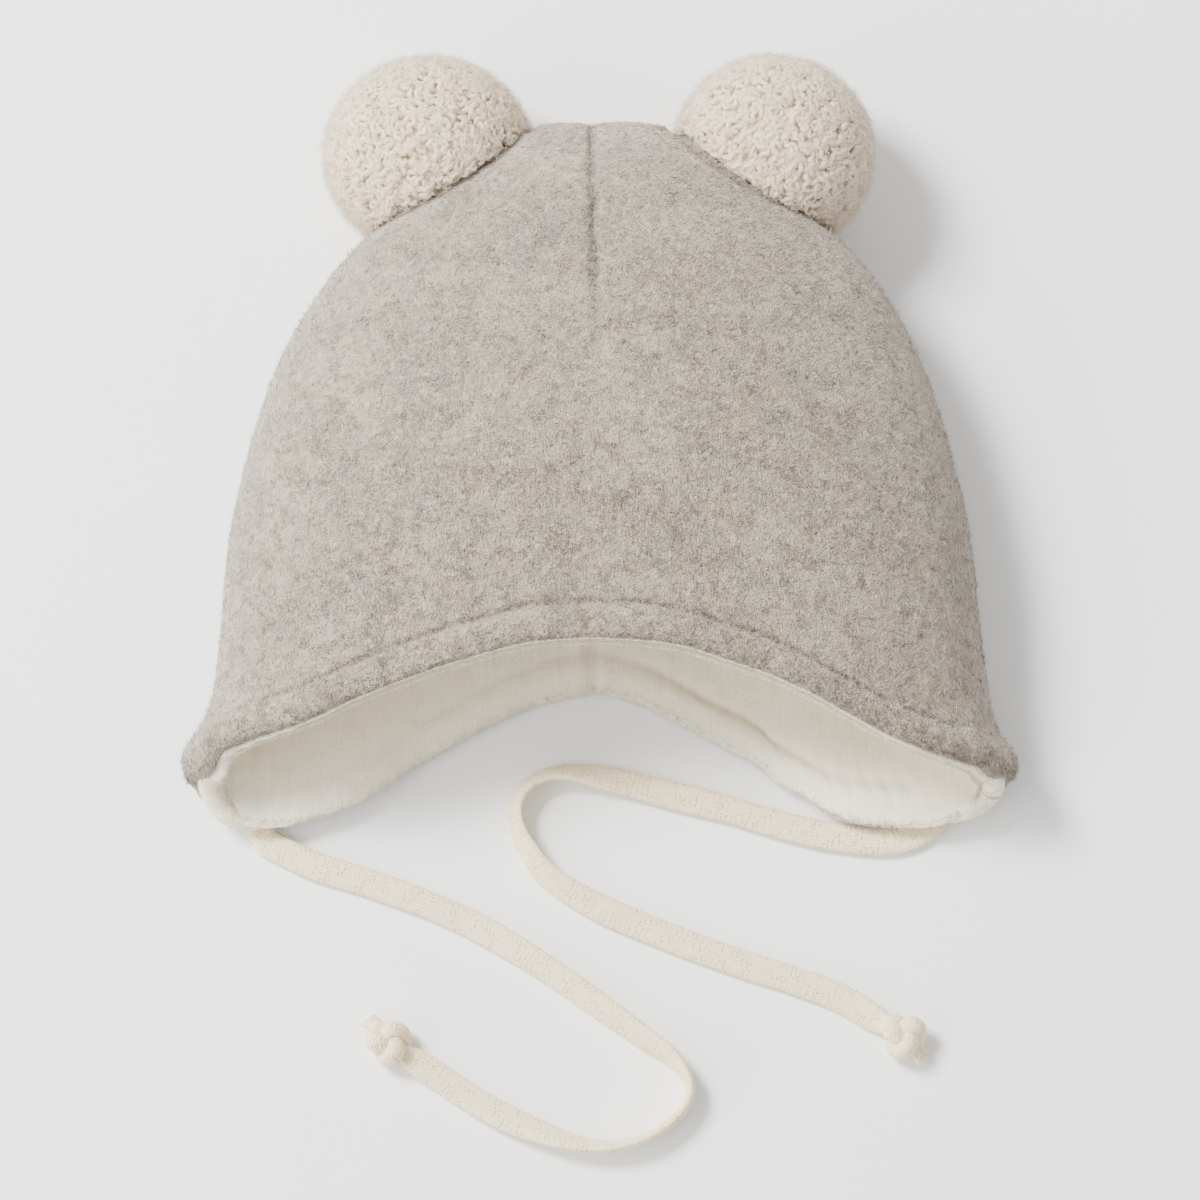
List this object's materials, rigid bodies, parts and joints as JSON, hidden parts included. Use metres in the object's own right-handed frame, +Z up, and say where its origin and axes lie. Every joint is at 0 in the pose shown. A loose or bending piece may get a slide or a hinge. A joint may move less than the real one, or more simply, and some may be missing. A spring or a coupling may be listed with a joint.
{
  "type": "baby hat with ears",
  "caption": "Soft lined baby bonnet with pompom ears and flaps whose long knotted ties lie loose, shown lying on its back.",
  "frame": {"origin": "a point on the flat of the back panel, on the surface that the hat lies on, in the middle of its width", "axes": "+X across the hat, +Y from the opening towards the crown, +Z up from the surface, through the back panel and the front"},
  "size_m": [0.1949, 0.2593, 0.056],
  "materials": {
    "wool": "brushed heathered wool fleece",
    "fleece": "smooth cream fleece",
    "pile": "curly cream pile",
    "knit": "fine cream knit"
  },
  "bodies": {
    "root": {"outer_shell": "wool", "lining": "fleece", "ear_left": "pile", "ear_right": "pile", "tie_left": "knit", "tie_right": "knit", "knot_left": "knit", "knot_right": "knit"}
  },
  "joints": []
}
